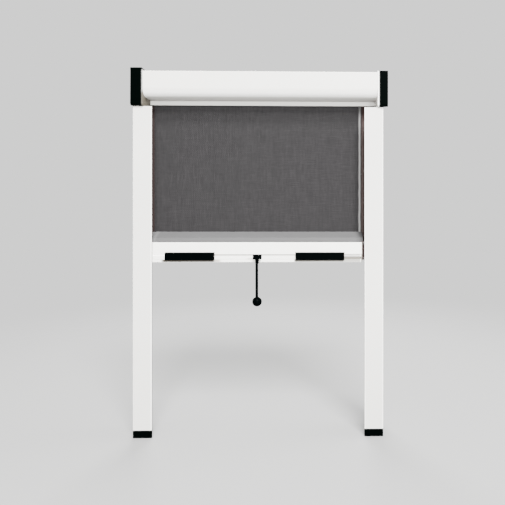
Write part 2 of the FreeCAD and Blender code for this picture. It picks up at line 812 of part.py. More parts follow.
# End plugs: a head over the section, a tongue that runs in the guide and a
# block inside the bar. A shallow groove in the outer face holds the end pile.


def bar_end(label, x0, flip, reach):
    e = q("end_thick")

    def span(a, b):
        return (e - b, e - a) if flip else (q(a), q(b))

    p = new_body(label, x0)
    pad(p, label + "_head", "YZ_Plane", [round_rect(bf, bb, lo, hi, 0.8)], e)
    a, b = span(-q(reach), 0.2)
    pad(p, label + "_tongue", "XY_Plane", [rect(a, b, 10.6, 25.9)], 12.0, offset=lo + 9.0)
    g, h = span(1.8, 14.0)
    pad(p, label + "_block", "XY_Plane", [rect(g, h, 14.0, 24.8)], 8.0, offset=lo + 11.0)
    groove = [rect(bf + 0.6, 10.3, lo + 2.8, hi - 0.8)]
    if flip:
        pocket(p, label + "_groove", "YZ_Plane", groove, 0.8, offset=e)
        corner = [(e + 0.2, lo - 0.2), (e - 1.9, lo - 0.2), (e + 0.2, lo + 2.6)]
    else:
        pocket(p, label + "_groove", "YZ_Plane", groove, 0.8, offset=0.0, back=True)
        corner = [(-0.2, lo - 0.2), (1.9, lo - 0.2), (-0.2, lo + 2.6)]
    pocket(p, label + "_corner", "XZ_Plane", [corner])
    return p


bar_end("left_bar_end", "bar_left", False, 10.8)
bar_end("right_bar_end", br, True, 15.5)
keep(
    group(
        "end_pile_pair",
        dbox("end_pile_a", q("bar_left") - 0.3, q("bar_left") + 0.75, bf + 0.65, 10.25, lo + 2.9, hi - 0.9),
        dbox("end_pile_b", q("bar_right") - 0.75, q("bar_right") + 4.4, bf + 0.65, 10.25, lo + 2.9, hi - 0.9),
    ),
    "bar_end_piles",
)

# Pile under the bar, in the slot of its underside.
keep(
    fuse(
        "low_pile_solid",
        dbox("low_pile_base", bl + 0.2, br - 0.2, 18.8, 26.2, lo + 1.3, lo + 3.7),
        dbox("low_pile_fibre", bl + 0.2, br - 0.2, 20.3, 24.7, lo - 0.5, lo + 1.4),
    ),
    "bottom_pile",
)

# Clip-on grips: a finger ledge in front and a hook in the bar's front groove.


def handle(label, x0):
    h = new_body(label, x0)
    z0 = q("handle_low")
    z1 = z0 + "handle_tall"
    f = q("handle_front")
    pad(
        h, label + "_section", "YZ_Plane",
        [[
            (f + 0.8, z0, -0.8),
            (f, z0 + 0.8),
            (f, z1 - 1.0, -1.0),
            (f + 1.0, z1),
            (bf - 0.1, z1),
            (bf - 0.1, lo + 6.7),
            (bf + 1.6, lo + 6.7),
            (bf + 1.6, lo + 8.1),
            (bf + 3.2, lo + 8.1),
            (bf + 3.2, lo + 2.9),
            (bf + 1.6, lo + 2.9),
            (bf + 1.6, lo + 4.0),
            (bf - 0.1, lo + 4.0),
            (bf - 0.1, z0),
            (bf - 1.2, z0),
            (bf - 1.2, z0 + 4.6),
            (f + 1.6, z0 + 4.6),
            (f + 1.6, z0),
        ]],
        "handle_long",
    )
    n, dr, long = q(0) - 0.2, q("handle_draft"), q("handle_long")
    pocket(
        h, label + "_drafts", "XY_Plane",
        [[(n, f + 0.6), (n, bf - 0.05), (dr, bf - 0.05)],
         [(long - n, f + 0.6), (long - dr, bf - 0.05), (long - n, bf - 0.05)]],
    )
    return h


handle("left_handle", "handle_left")
handle("right_handle", "handle_right")

# Cover strips snap into the front groove between the grips and the clip. Past
# the right grip the groove is open and a filler lies in its bottom.


def cover(name, x0, x1):
    return fuse(
        name,
        dbox(name + "_face", x0, x1, bf + 0.05, bf + 1.55, lo + 4.05, lo + 6.85),
        dbox(name + "_rail", x0, x1, bf + 1.5, bf + 2.7, lo + 3.0, lo + 8.0),
    )


grip_l0, grip_r0 = q("handle_left"), q("handle_right")
grip_l1, grip_r1 = grip_l0 + "handle_long", grip_r0 + "handle_long"
clip_l, clip_r = q("clip_mid") - q("clip_wide") / 2, q("clip_mid") + q("clip_wide") / 2
keep(
    group(
        "cover_strips",
        cover("cover_a", bl + 0.2, grip_l0 - 0.2),
        cover("cover_b", grip_l1 + 0.2, clip_l - 0.2),
        cover("cover_c", clip_r + 0.2, grip_r0 - 0.2),
    ),
    "groove_covers",
)
keep(dbox("filler_strip", grip_r1 + 0.2, br - 0.2, bf + 0.75, bf + 3.4, lo + 4.0, lo + 6.8), "groove_filler")

# Cord clip: a small T in the same groove, with an eye that the cord hangs in.
cx, cord_x = q("clip_mid"), q("cord_mid")
clip_body = fuse(
    "clip_whole",
    dbox("clip_face", cx - q("clip_wide") / 2, cx + q("clip_wide") / 2, q("cord_deep") - 2.6, bf - 0.1, "clip_low", "clip_high"),
    dbox("clip_hook", cx - 4.0, cx + 4.0, bf - 0.2, bf + 3.2, lo + 4.0, lo + 6.7),
    dbox("clip_neck", cx - 2.1, cx + 2.1, q("cord_deep") - 2.2, q("cord_deep") + 2.0, "cord_top", q("clip_low") + 0.1),
)
keep(cut("clip_solid", clip_body, peg("clip_eye", "cord_round", cord_x, "cord_deep", q("cord_top") - 1.0, q("cord_top") + 3.0)), "cord_clip")

# Pull cord: it hangs straight under the weight of the ball.
keep(peg("cord_peg", "cord_round", cord_x, "cord_deep", "cord_end", q("cord_top") + 2.9), "pull_cord")

globe = doc.addObject("Part::Sphere", "ball_globe")
globe.setExpression("Radius", q("ball_round").t)
moved(globe, "ball_mid", q("cord_deep") - HALF_DEPTH, "ball_high")
keep(
    cut(
        "ball_bored",
        globe,
        peg("ball_bore", "cord_round", cord_x, "cord_deep", q("cord_end") - 0.1, q("ball_high") + "ball_round" + 1.0),
    ),
    "cord_ball",
)

# --------------------------------------------------------- checks and output
doc.recompute()
for o in doc.Objects:
    bad = [s for s in o.State if s in ("Invalid", "Error")]
    if bad:
        raise RuntimeError("%s: %s" % (o.Label, o.State))
os.makedirs("parts", exist_ok=True)
labels = set()
for o in PIECES:
    s = o.Shape
    if s.isNull() or not s.isValid() or not s.Solids:
        raise RuntimeError("%s has no valid solid" % o.Label)
    if o.Label in labels:
        raise RuntimeError(o.Label + " twice")
    labels.add(o.Label)
for o in PIECES:
    o.Shape.exportStep("parts/%s.step" % o.Label)
print("%d pieces" % len(PIECES))
for o in PIECES:
    b = o.Shape.BoundBox
    print(
        "%-22s %d  vol %9.1f  x %8.2f %8.2f  y %7.2f %7.2f  z %7.2f %7.2f"
        % (o.Label, len(o.Shape.Solids), o.Shape.Volume, b.XMin, b.XMax, b.YMin, b.YMax, b.ZMin, b.ZMax)
    )
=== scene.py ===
import bpy
import bmesh
import math
import numpy as np
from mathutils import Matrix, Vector


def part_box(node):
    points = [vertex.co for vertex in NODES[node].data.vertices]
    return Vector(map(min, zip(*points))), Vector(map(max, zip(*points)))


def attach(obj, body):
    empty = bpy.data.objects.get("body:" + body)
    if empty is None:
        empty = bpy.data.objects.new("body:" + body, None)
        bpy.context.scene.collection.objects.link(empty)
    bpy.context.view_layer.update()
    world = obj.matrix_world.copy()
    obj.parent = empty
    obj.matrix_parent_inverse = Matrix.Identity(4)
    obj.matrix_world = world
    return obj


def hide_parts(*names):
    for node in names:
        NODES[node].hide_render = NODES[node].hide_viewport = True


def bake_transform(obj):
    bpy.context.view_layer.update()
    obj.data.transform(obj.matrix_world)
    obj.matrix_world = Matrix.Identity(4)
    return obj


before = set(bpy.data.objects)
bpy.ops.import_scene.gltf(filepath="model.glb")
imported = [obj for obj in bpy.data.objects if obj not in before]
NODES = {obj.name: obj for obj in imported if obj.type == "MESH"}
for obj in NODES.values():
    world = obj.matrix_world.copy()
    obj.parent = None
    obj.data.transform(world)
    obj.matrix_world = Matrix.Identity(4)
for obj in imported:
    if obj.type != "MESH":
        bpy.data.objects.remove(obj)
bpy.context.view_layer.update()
scene = bpy.context.scene
MM = 0.001


def link(obj):
    scene.collection.objects.link(obj)
    return obj


# ------------------------------------------------------------------- camera
cam_data = bpy.data.cameras.new("camera")
cam_data.sensor_width = 36.0
cam_data.lens = 459.0 / 505.0 * 36.0
cam_data.shift_x = -0.165
cam_data.shift_y = -0.048
cam_data.clip_start = 0.01
cam = link(bpy.data.objects.new("camera", cam_data))
cam.location = (81.81 * MM, -584.0 * MM, 256.0 * MM)
cam.rotation_euler = (math.radians(90.0), 0.0, math.radians(-1.1))
scene.camera = cam

# --------------------------------------------------------------------- cord
# It hangs straight down from the clip; the points are those of the CAD route.
CORD_X, CORD_Y = -4.4 * MM, (4.9 - 24.0) * MM
CORD_TOP, CORD_END = 215.9 * MM, 171.6 * MM
CORD_R = 1.6 * MM
curve = bpy.data.curves.new("pull_cord_line", "CURVE")
curve.dimensions = "3D"
spline = curve.splines.new("NURBS")
route = [(CORD_X, CORD_Y, CORD_TOP), (CORD_X, CORD_Y, 0.5 * (CORD_TOP + CORD_END)), (CORD_X, CORD_Y, CORD_END)]
spline.points.add(len(route) - 1)
for pt, co in zip(spline.points, route):
    pt.co = (*co, 1.0)
spline.order_u = 3
spline.use_endpoint_u = True
spline.resolution_u = 40
guide_line = link(bpy.data.objects.new("pull_cord_line", curve))
bpy.context.view_layer.update()
sampled = bpy.data.meshes.new_from_object(guide_line.evaluated_get(bpy.context.evaluated_depsgraph_get()))
PATH = [Vector(v.co) for v in sampled.vertices]
bpy.data.objects.remove(guide_line)


def braided(name, path, radius, strands=8, lay_length=0.0085):
    """A core with strands that cross over and under round it."""
    verts, faces = [], []

    def tube(points, r, seg):
        base = len(verts)
        n = len(points)
        for k, pnt in enumerate(points):
            t = (points[min(k + 1, n - 1)] - points[max(k - 1, 0)]).normalized()
            u = t.orthogonal().normalized() if k == 0 else (u - t * u.dot(t)).normalized()
            w = t.cross(u)
            for q in range(seg):
                a = 2 * math.pi * q / seg
                verts.append(pnt + (u * math.cos(a) + w * math.sin(a)) * r)
        for k in range(n - 1):
            for q in range(seg):
                q2 = (q + 1) % seg
                faces.append((base + k * seg + q, base + k * seg + q2, base + (k + 1) * seg + q2, base + (k + 1) * seg + q))
        faces.append(tuple(base + q for q in range(seg))[::-1])
        faces.append(tuple(base + (n - 1) * seg + q for q in range(seg)))

    lengths = [0.0]
    for a, b in zip(path, path[1:]):
        lengths.append(lengths[-1] + (b - a).length)
    total = lengths[-1]
    tube(path, radius * 1.01, 20)
    thread = radius * 0.24
    n = int(total / 0.00055)
    for k in range(strands):
        way = 1 if k % 2 else -1
        phase = 2 * math.pi * (k // 2) / (strands // 2)
        pts = []
        for i in range(n + 1):
            along = total * i / n
            j = max(q for q in range(len(lengths)) if lengths[q] <= along + 1e-12)
            j = min(j, len(path) - 2)
            t = (along - lengths[j]) / max(lengths[j + 1] - lengths[j], 1e-9)
            c = path[j].lerp(path[j + 1], t)
            d = (path[j + 1] - path[j]).normalized()
            u = Vector((1, 0, 0))
            w = d.cross(u)
            turn = way * 2 * math.pi * along / lay_length + phase
            over = math.cos(2 * math.pi * along / lay_length * strands / 2 + way * math.pi / 2)
            r = radius * 1.05 - thread * 0.62 + 0.20 * thread * over
            pts.append(c + (u * math.cos(turn) + w * math.sin(turn)) * r)
        tube(pts, thread * 0.82, 7)
    me = bpy.data.meshes.new(name)
    me.from_pydata([tuple(v) for v in verts], [], faces)
    me.polygons.foreach_set("use_smooth", [True] * len(me.polygons))
    me.update()
    return link(bpy.data.objects.new(name, me))


cord = braided("pull_cord_braid", PATH, CORD_R)
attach(cord, "bar")
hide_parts("pull_cord")


# ---------------------------------------------------------------- materials
def material(name, colour, rough, metal=0.0, specular=0.5):
    m = bpy.data.materials.new(name)
    m.use_nodes = True
    nt = m.node_tree
    bsdf = nt.nodes["Principled BSDF"]
    bsdf.inputs["Base Color"].default_value = colour
    bsdf.inputs["Roughness"].default_value = rough
    bsdf.inputs["Metallic"].default_value = metal
    bsdf.inputs["Specular IOR Level"].default_value = specular
    return m, nt, bsdf


def scaled(nt, sx, sy, sz):
    """Object coordinates, stretched."""
    tc = nt.nodes.new("ShaderNodeTexCoord")
    mp = nt.nodes.new("ShaderNodeMapping")
    mp.inputs["Scale"].default_value = (sx, sy, sz)
    nt.links.new(tc.outputs["Object"], mp.inputs["Vector"])
    return mp.outputs["Vector"]


def noise(nt, vector, scale, detail=3.0, rough=0.5):
    n = nt.nodes.new("ShaderNodeTexNoise")
    n.inputs["Scale"].default_value = scale
    n.inputs["Detail"].default_value = detail
    n.inputs["Roughness"].default_value = rough
    nt.links.new(vector, n.inputs["Vector"])
    return n.outputs["Fac"]


def ramp(nt, fac, stops):
    r = nt.nodes.new("ShaderNodeValToRGB")
    e = r.color_ramp.elements
    e[0].position, e[0].color = stops[0]
    e[1].position, e[1].color = stops[-1]
    for pos, col in stops[1:-1]:
        n = e.new(pos)
        n.color = col
    nt.links.new(fac, r.inputs["Fac"])
    return r.outputs["Color"]


def bump(nt, bsdf, height, strength, distance):
    b = nt.nodes.new("ShaderNodeBump")
    b.inputs["Strength"].default_value = strength
    b.inputs["Distance"].default_value = distance
    nt.links.new(height, b.inputs["Height"])
    nt.links.new(b.outputs["Normal"], bsdf.inputs["Normal"])
    return b


def add_maths(nt, a, b, op="ADD"):
    m = nt.nodes.new("ShaderNodeMath")
    m.operation = op
    nt.links.new(a, m.inputs[0])
    if isinstance(b, (int, float)):
        m.inputs[1].default_value = b
    else:
        nt.links.new(b, m.inputs[1])
    return m.outputs["Value"]


def roughness(nt, bsdf, fac, low, high):
    m = nt.nodes.new("ShaderNodeMapRange")
    m.inputs["To Min"].default_value = low
    m.inputs["To Max"].default_value = high
    nt.links.new(fac, m.inputs["Value"])
    nt.links.new(m.outputs["Result"], bsdf.inputs["Roughness"])


def tone(c, k):
    return (c[0] * k, c[1] * k, c[2] * k, 1.0)


def facing(nt, axis, low, high):
    """How far the surface turns towards an axis of the world, either way along X, towards -Y, or down."""
    geo = nt.nodes.new("ShaderNodeNewGeometry")
    sep = nt.nodes.new("ShaderNodeSeparateXYZ")
    nt.links.new(geo.outputs["Normal"], sep.inputs[0])
    out = sep.outputs["XYZ".index(axis)]
    if axis == "X":
        out = add_maths(nt, out, 0.0, "ABSOLUTE")
    else:
        out = add_maths(nt, out, -1.0, "MULTIPLY")
    m = nt.nodes.new("ShaderNodeMapRange")
    m.interpolation_type = "SMOOTHSTEP"
    m.inputs["From Min"].default_value = low
    m.inputs["From Max"].default_value = high
    nt.links.new(out, m.inputs["Value"])
    return m.outputs["Result"]


def blend_colours(nt, fac, a, b):
    m = nt.nodes.new("ShaderNodeMix")
    m.data_type = "RGBA"
    nt.links.new(fac, m.inputs["Factor"])
    for value, key in ((a, "A"), (b, "B")):
        sock = [i for i in m.inputs if i.name == key and i.type == "RGBA"][0]
        if hasattr(value, "links") or hasattr(value, "is_linked"):
            nt.links.new(value, sock)
        else:
            sock.default_value = value
    return [o for o in m.outputs if o.type == "RGBA"][0]


def span(nt, axis, low, high, soft=0.15):
    """1 between two places along an axis of the part, in mm, 0 outside, with soft sides."""
    tc = nt.nodes.new("ShaderNodeTexCoord")
    sep = nt.nodes.new("ShaderNodeSeparateXYZ")
    nt.links.new(tc.outputs["Object"], sep.inputs[0])
    place = sep.outputs["XYZ".index(axis)]
    sides = []
    for at, way in ((low, 1.0), (high, -1.0)):
        m = nt.nodes.new("ShaderNodeMapRange")
        m.interpolation_type = "SMOOTHSTEP"
        m.inputs["From Min"].default_value = (at - way * soft) * MM
        m.inputs["From Max"].default_value = (at + way * soft) * MM
        if way < 0:
            m.inputs["From Min"].default_value, m.inputs["From Max"].default_value = (at - soft) * MM, (at + soft) * MM
            m.inputs["To Min"].default_value, m.inputs["To Max"].default_value = 1.0, 0.0
        nt.links.new(place, m.inputs["Value"])
        sides.append(m.outputs["Result"])
    return add_maths(nt, sides[0], sides[1], "MULTIPLY")


def both(nt, *facs):
    out = facs[0]
    for f in facs[1:]:
        out = add_maths(nt, out, f, "MULTIPLY")
    return out


def paint(name, colour, along, edge=None, marks=None):
    """Powder paint on an extrusion: a fine pebble, faint draw lines along the profile and a little unevenness in tone.
    edge is a brighter colour for the upright corners, a painted highlight; marks adds tones by place, matched to the
    photograph.
    """
    m, nt, bsdf = material(name, colour, 0.4, specular=0.4)
    stretch = {"x": (1.0, 60.0, 60.0), "z": (60.0, 60.0, 1.0)}[along]
    lines = noise(nt, scaled(nt, *stretch), 22.0, 2.0)
    pebble = noise(nt, scaled(nt, 1, 1, 1), 1900.0, 2.0)
    cloud = noise(nt, scaled(nt, 1, 1, 1), 14.0, 3.0)
    col = ramp(nt, cloud, [(0.3, tone(colour, 0.965)), (0.7, tone(colour, 1.0))])
    if edge:
        # edge: painted highlight on the rounded upright corners
        col = blend_colours(nt, both(nt, facing(nt, "X", 0.12, 0.5), facing(nt, "Y", 0.1, 0.4)), col, edge)
    for fac, shade in marks(nt) if marks else ():
        col = blend_colours(nt, fac, col, shade)
    nt.links.new(col, bsdf.inputs["Base Color"])
    height = add_maths(nt, pebble, add_maths(nt, lines, 0.35, "MULTIPLY"))
    bump(nt, bsdf, height, 0.14, 0.0001)
    roughness(nt, bsdf, cloud, 0.36, 0.46)
    return m


def moulded(name, colour, rough=0.5, grain=900.0, strength=0.25, specular=0.4, lift=1.35, marks=None, sides=None):
    """Moulded plastic with a fine spark grain and faint rub marks. sides is the colour of the faces that don't look
    forward; they are painted lighter than the front, a painted sheen.
    """
    m, nt, bsdf = material(name, colour, rough, specular=specular)
    fine = noise(nt, scaled(nt, 1, 1, 1), grain, 4.0, 0.6)
    rub = noise(nt, scaled(nt, 1, 1, 3), 60.0, 5.0, 0.7)
    col = ramp(nt, rub, [(0.35, colour), (0.75, tone(colour, lift))])
    if sides:
        # painted sheen: the faces that don't look forward get the lighter sides colour, with the rub marks
        lit_sides = ramp(nt, rub, [(0.3, sides), (0.7, tone(sides, 1.9))])
        col = blend_colours(nt, facing(nt, "Y", 0.35, 0.75), lit_sides, col)
    for fac, shade in marks(nt) if marks else ():
        col = blend_colours(nt, fac, col, shade)
    nt.links.new(col, bsdf.inputs["Base Color"])
    bump(nt, bsdf, fine, strength, 0.00012)
    roughness(nt, bsdf, rub, rough - 0.06, rough + 0.1)
    return m


def cloth(name, colour, pitch, rough=0.9, contrast=0.25, marks=None):
    """Fine plain weave from crossed waves."""
    m, nt, bsdf = material(name, colour, rough, specular=0.1)
    vec = scaled(nt, 1, 1, 1)
    parts = []
    for direction in ("X", "Z"):
        w = nt.nodes.new("ShaderNodeTexWave")
        w.bands_direction = direction
        w.inputs["Scale"].default_value = 1.0 / pitch / 2.0 / 1.6
        w.inputs["Distortion"].default_value = 0.4
        w.inputs["Detail"].default_value = 1.0
        nt.links.new(vec, w.inputs["Vector"])
        parts.append(w.outputs["Fac"])
    weave = add_maths(nt, parts[0], parts[1], "MULTIPLY")
    cloudy = noise(nt, vec, 180.0, 4.0, 0.6)
    mix = add_maths(nt, weave, cloudy)
    col = ramp(nt, add_maths(nt, mix, 0.6, "MULTIPLY"), [(0.18, tone(colour, 1.0 - contrast)), (0.72, tone(colour, 1.0 + contrast))])
    for fac, shade in marks(nt) if marks else ():
        col = blend_colours(nt, fac, col, shade)
    nt.links.new(col, bsdf.inputs["Base Color"])
    bump(nt, bsdf, weave, 0.5, 0.0002)
    return m


def cassette_marks(nt):
    """Tones matched to the photograph: a painted highlight on the lower curve, painted shade on the underside that
    darkens towards the hanging lip, and a dark band along the lip's lower edge.
    """
    under = facing(nt, "Z", 0.80, 0.97)
    curve = facing(nt, "Z", 0.15, 0.75)
    return [
        # painted highlight on the lower curve
        (both(nt, curve, facing(nt, "Y", 0.2, 0.5)), (0.95, 0.94, 0.91, 1.0)),
        # painted shade on the underside, deeper near the hanging lip
        (both(nt, under, span(nt, "Y", -11.0, 5.0, 2.0), span(nt, "Z", 417.0, 417.8)), (0.52, 0.505, 0.485, 1.0)),
        (both(nt, span(nt, "Y", 1.5, 5.0), span(nt, "Z", 410.0, 412.25, 0.1)), (0.075, 0.071, 0.068, 1.0)),
        (both(nt, under, span(nt, "Y", -4.0, 5.0, 3.0), span(nt, "Z", 417.0, 417.8)), (0.30, 0.28, 0.265, 1.0)),
    ]


def guide_marks(nt):
    """Tones matched to the photograph: painted highlights on the upright edges of the front, painted shade in brown on
    the inner side faces, black just above the foot.
    """
    front = facing(nt, "Y", 0.5, 0.9)
    across = facing(nt, "X", 0.6, 0.9)
    # shade is the colour of the painted highlights on the front's upright edges
    shade = (0.92, 0.91, 0.87, 1.0)
    slot_shade_brown = (0.034, 0.024, 0.022, 1.0)
    return [
        # painted shade in brown on the guides' inner side faces, beside the slot
        (both(nt, across, span(nt, "X", -132.6, -131.0, 0.1)), slot_shade_brown),
        (both(nt, across, span(nt, "X", 127.0, 128.5, 0.1)), slot_shade_brown),
        (span(nt, "Z", 7.0, 9.45, 0.08), (0.0002, 0.0006, 0.0005, 1.0)),
        # painted highlights on the upright edges of the front
        (both(nt, front, span(nt, "X", -133.15, -131.0), span(nt, "Z", 9.6, 410.0)), shade),
        (both(nt, front, span(nt, "X", -156.0, -154.5), span(nt, "Z", 9.6, 410.0)), shade),
        (both(nt, front, span(nt, "X", 127.0, 129.1), span(nt, "Z", 9.6, 410.0)), shade),
    ]


def rim_marks(nt):
    """Black paint round each grip and the clip, and a faint dull patch beside the clip. It is there to match the photograph's levels, because black beside white comes out narrower in a render, and it makes them look slightly larger than their shape."""
    joint = (0.0010, 0.0012, 0.0012, 1.0)
    return [
        (both(nt, span(nt, "X", -16.0, -8.0, 2.5), span(nt, "Z", 217.2, 219.6, 0.5)), (0.55, 0.53, 0.49, 1.0)),
        (both(nt, span(nt, "X", -116.85, -56.25, 0.08), span(nt, "Z", 216.9, 226.6, 0.08)), joint),
        (both(nt, span(nt, "X", 42.55, 103.45, 0.08), span(nt, "Z", 216.9, 226.6, 0.08)), joint),
        (both(nt, span(nt, "X", -9.45, 1.65, 0.08), span(nt, "Z", 218.5, 224.0, 0.08)), joint),
    ]


def bar_marks(nt):
    """Tones matched to the photograph: painted shade in the score line between the grips and painted light over it left
    of the left grip, painted shadows under the grips, and duller tones in the open end of the groove.
    """
    front = facing(nt, "Y", 0.2, 0.5)
    return [
        # painted shade in the score line; the next line paints light over it left of the left grip
        (both(nt, front, span(nt, "X", -57.0, 44.0), span(nt, "Z", 222.2, 224.0, 0.25)), (0.28, 0.275, 0.255, 1.0)),
        (both(nt, span(nt, "X", -132.0, -116.0), span(nt, "Z", 222.0, 224.1, 0.25)), (0.98, 0.97, 0.94, 1.0)),
        # painted shadows under the grips, on the lip below them
        (both(nt, span(nt, "X", -57.0, -49.5, 2.5), span(nt, "Z", 214.7, 217.4)), (0.36, 0.33, 0.29, 1.0)),
        (both(nt, span(nt, "X", 102.9, 122.9, 0.4), span(nt, "Z", 214.6, 218.0)), (0.25, 0.24, 0.215, 1.0)),
        (both(nt, span(nt, "X", 102.9, 122.9, 0.4), span(nt, "Z", 220.9, 224.4, 0.4)), (0.33, 0.32, 0.295, 1.0)),
        (both(nt, span(nt, "X", -121.0, -56.2, 2.2), span(nt, "Z", 214.7, 217.4)), (0.024, 0.018, 0.010, 1.0)),
        (both(nt, span(nt, "X", 41.6, 103.2, 1.2), span(nt, "Z", 214.9, 217.4)), (0.045, 0.038, 0.026, 1.0)),
        *rim_marks(nt),
    ]


def end_marks(nt):
    """Tones matched to the photograph: the right plug is dull like the groove beside it, and brown where it meets the pile."""
    front = facing(nt, "Y", 0.2, 0.5)
    return [
        (both(nt, front, span(nt, "X", 122.0, 125.0), span(nt, "Z", 217.7, 221.2)), (0.120, 0.109, 0.088, 1.0)),
        (both(nt, front, span(nt, "X", 122.0, 125.0), span(nt, "Z", 214.6, 217.8)), (0.25, 0.24, 0.215, 1.0)),
        (both(nt, front, span(nt, "X", 122.0, 125.0), span(nt, "Z", 221.1, 224.4, 0.3)), (0.33, 0.32, 0.295, 1.0)),
        (span(nt, "X", 124.7, 142.0, 0.1), (0.050, 0.041, 0.033, 1.0)),
    ]


paint_x = paint("white_paint_long", (0.65, 0.64, 0.60, 1.0), "x", marks=cassette_marks)
paint_z = paint("white_paint_tall", (0.60, 0.59, 0.555, 1.0), "z", edge=(0.92, 0.91, 0.87, 1.0), marks=guide_marks)
paint_bar = paint("white_paint_bar", (0.83, 0.82, 0.775, 1.0), "x", marks=bar_marks)
white_plastic = moulded("white_moulding", (0.80, 0.79, 0.75, 1.0), 0.45, 700.0, 0.15, lift=1.05)
bar_end_plastic = moulded("bar_end_moulding", (0.80, 0.79, 0.75, 1.0), 0.45, 700.0, 0.15, lift=1.05, marks=end_marks)
cover_plastic = moulded("groove_cover_moulding", (0.80, 0.79, 0.75, 1.0), 0.45, 700.0, 0.15, lift=1.05, marks=rim_marks)
beige = moulded("beige_moulding", (0.120, 0.109, 0.088, 1.0), 0.5, 700.0, 0.15, lift=1.08, marks=rim_marks)


def plate(name, low, high, marks):
    """A side plate: white painted edges, and sides between the low and high colours: painted shade, dark tan, on the
    left plate, and its pale colour with a little painted light on the right one. marks adds the joint with the cap.
    """
    m, nt, bsdf = material(name, (0.62, 0.58, 0.51, 1.0), 0.5, specular=0.3)
    cloud = noise(nt, scaled(nt, 1, 1, 1), 30.0, 4.0, 0.6)
    side = ramp(nt, cloud, [(0.3, (*low, 1)), (0.7, (*high, 1))])
    col = (0.95, 0.94, 0.91, 1.0)
    for fac, shade in marks(nt):
        col = blend_colours(nt, fac, col, shade)
    nt.links.new(blend_colours(nt, facing(nt, "X", 0.5, 0.8), col, side), bsdf.inputs["Base Color"])
    roughness(nt, bsdf, cloud, 0.45, 0.6)
    bump(nt, bsdf, noise(nt, scaled(nt, 1, 1, 1), 1500.0, 2.0), 0.15, 0.0001)
    return m


def left_joint(nt):
    """Black along the joint with the cap, grey painted shade on the rest of the plate's front edge, and brown painted
    shade on the edges below the nose of the cassette, matched to the photograph's levels.
    """
    return [
        (span(nt, "X", -144.5, -142.05, 0.1), (0.100, 0.102, 0.097, 1.0)),
        (both(nt, span(nt, "X", -142.1, -141.0, 0.1), span(nt, "Z", 400.0, 423.5, 2.0)), (0.080, 0.056, 0.038, 1.0)),
        (both(nt, span(nt, "X", -144.5, -142.05, 0.1), span(nt, "Z", 400.0, 421.0, 2.5)), (0.038, 0.034, 0.026, 1.0)),
        (span(nt, "X", -144.5, -143.25, 0.05), (0.001, 0.001, 0.001, 1.0)),
    ]


def right_joint(nt):
    """Dark paint along the joint with the cap, matched to the photograph's levels."""
    return [
        (span(nt, "X", 145.35, 147.0, 0.1), (0.120, 0.122, 0.116, 1.0)),
        (span(nt, "X", 146.3, 147.0, 0.05), (0.001, 0.001, 0.001, 1.0)),
    ]


# the left plate's sides are painted shade; the right plate's are pale with a little painted light
left_plate = plate("left_plate_painted_shade", (0.072, 0.063, 0.047), (0.090, 0.080, 0.061), left_joint)
right_plate = plate("right_plate_paint", (0.80, 0.77, 0.72), (0.88, 0.85, 0.80), right_joint)

# black parts: deep black to the front, with sides painted lighter as a painted sheen
black_cap = moulded("black_moulding", (0.0001, 0.0005, 0.0004, 1.0), 0.5, 800.0, 0.35, 0.004, sides=(0.0040, 0.0044, 0.0044, 1.0))
black_grip = moulded("black_grip", (0.0001, 0.0004, 0.0004, 1.0), 0.45, 1100.0, 0.35, 0.005, sides=(0.0025, 0.0028, 0.0028, 1.0))
black_ball = moulded("black_ball", (0.0001, 0.0004, 0.0004, 1.0), 0.35, 1100.0, 0.1, 0.006, lift=1.6)


def seal_marks(nt):
    """Tones matched to the photograph: painted light at the left end, against the left guide's shadow, and painted
    shade at the right end beside the right guide.
    """
    return [
        (span(nt, "X", -145.0, -130.6, 1.6), (0.084, 0.0835, 0.084, 1.0)),
        (span(nt, "X", 120.5, 135.0, 4.5), (0.040, 0.0395, 0.040, 1.0)),
    ]


grey_seal = moulded("grey_seal_rubber", (0.060, 0.0595, 0.060, 1.0), 0.65, 500.0, 0.3, 0.1, lift=1.1, marks=seal_marks)

steel, nt, bsdf = material("zinc_steel", (0.60, 0.61, 0.62, 1.0), 0.32, 1.0)
grain = noise(nt, scaled(nt, 1, 1, 1), 700.0, 4.0)
nt.links.new(ramp(nt, grain, [(0.3, (0.055, 0.057, 0.060, 1)), (0.7, (0.105, 0.108, 0.112, 1))]), bsdf.inputs["Base Color"])
roughness(nt, bsdf, grain, 0.24, 0.46)
bump(nt, bsdf, grain, 0.15, 0.0001)

alu, nt, bsdf = material("mill_aluminium", (0.56, 0.57, 0.58, 1.0), 0.35, 1.0)
grain = noise(nt, scaled(nt, 1, 80, 80), 20.0, 3.0)
nt.links.new(ramp(nt, grain, [(0.3, (0.46, 0.47, 0.48, 1)), (0.7, (0.60, 0.61, 0.61, 1))]), bsdf.inputs["Base Color"])
roughness(nt, bsdf, grain, 0.25, 0.45)
bump(nt, bsdf, grain, 0.2, 0.0001)

brown_fibre, nt, bsdf = material("brown_pile_fibre", (0.02, 0.013, 0.013, 1.0), 0.85, specular=0.05)
v = noise(nt, scaled(nt, 1, 1, 1), 900.0, 3.0)
nt.links.new(ramp(nt, v, [(0.3, (0.024, 0.016, 0.015, 1)), (0.75, (0.060, 0.043, 0.041, 1))]), bsdf.inputs["Base Color"])
bump(nt, bsdf, v, 0.4, 0.0002)
brown_band = cloth("brown_band_weave", (0.018, 0.0125, 0.012, 1.0), 0.0007, contrast=0.35)


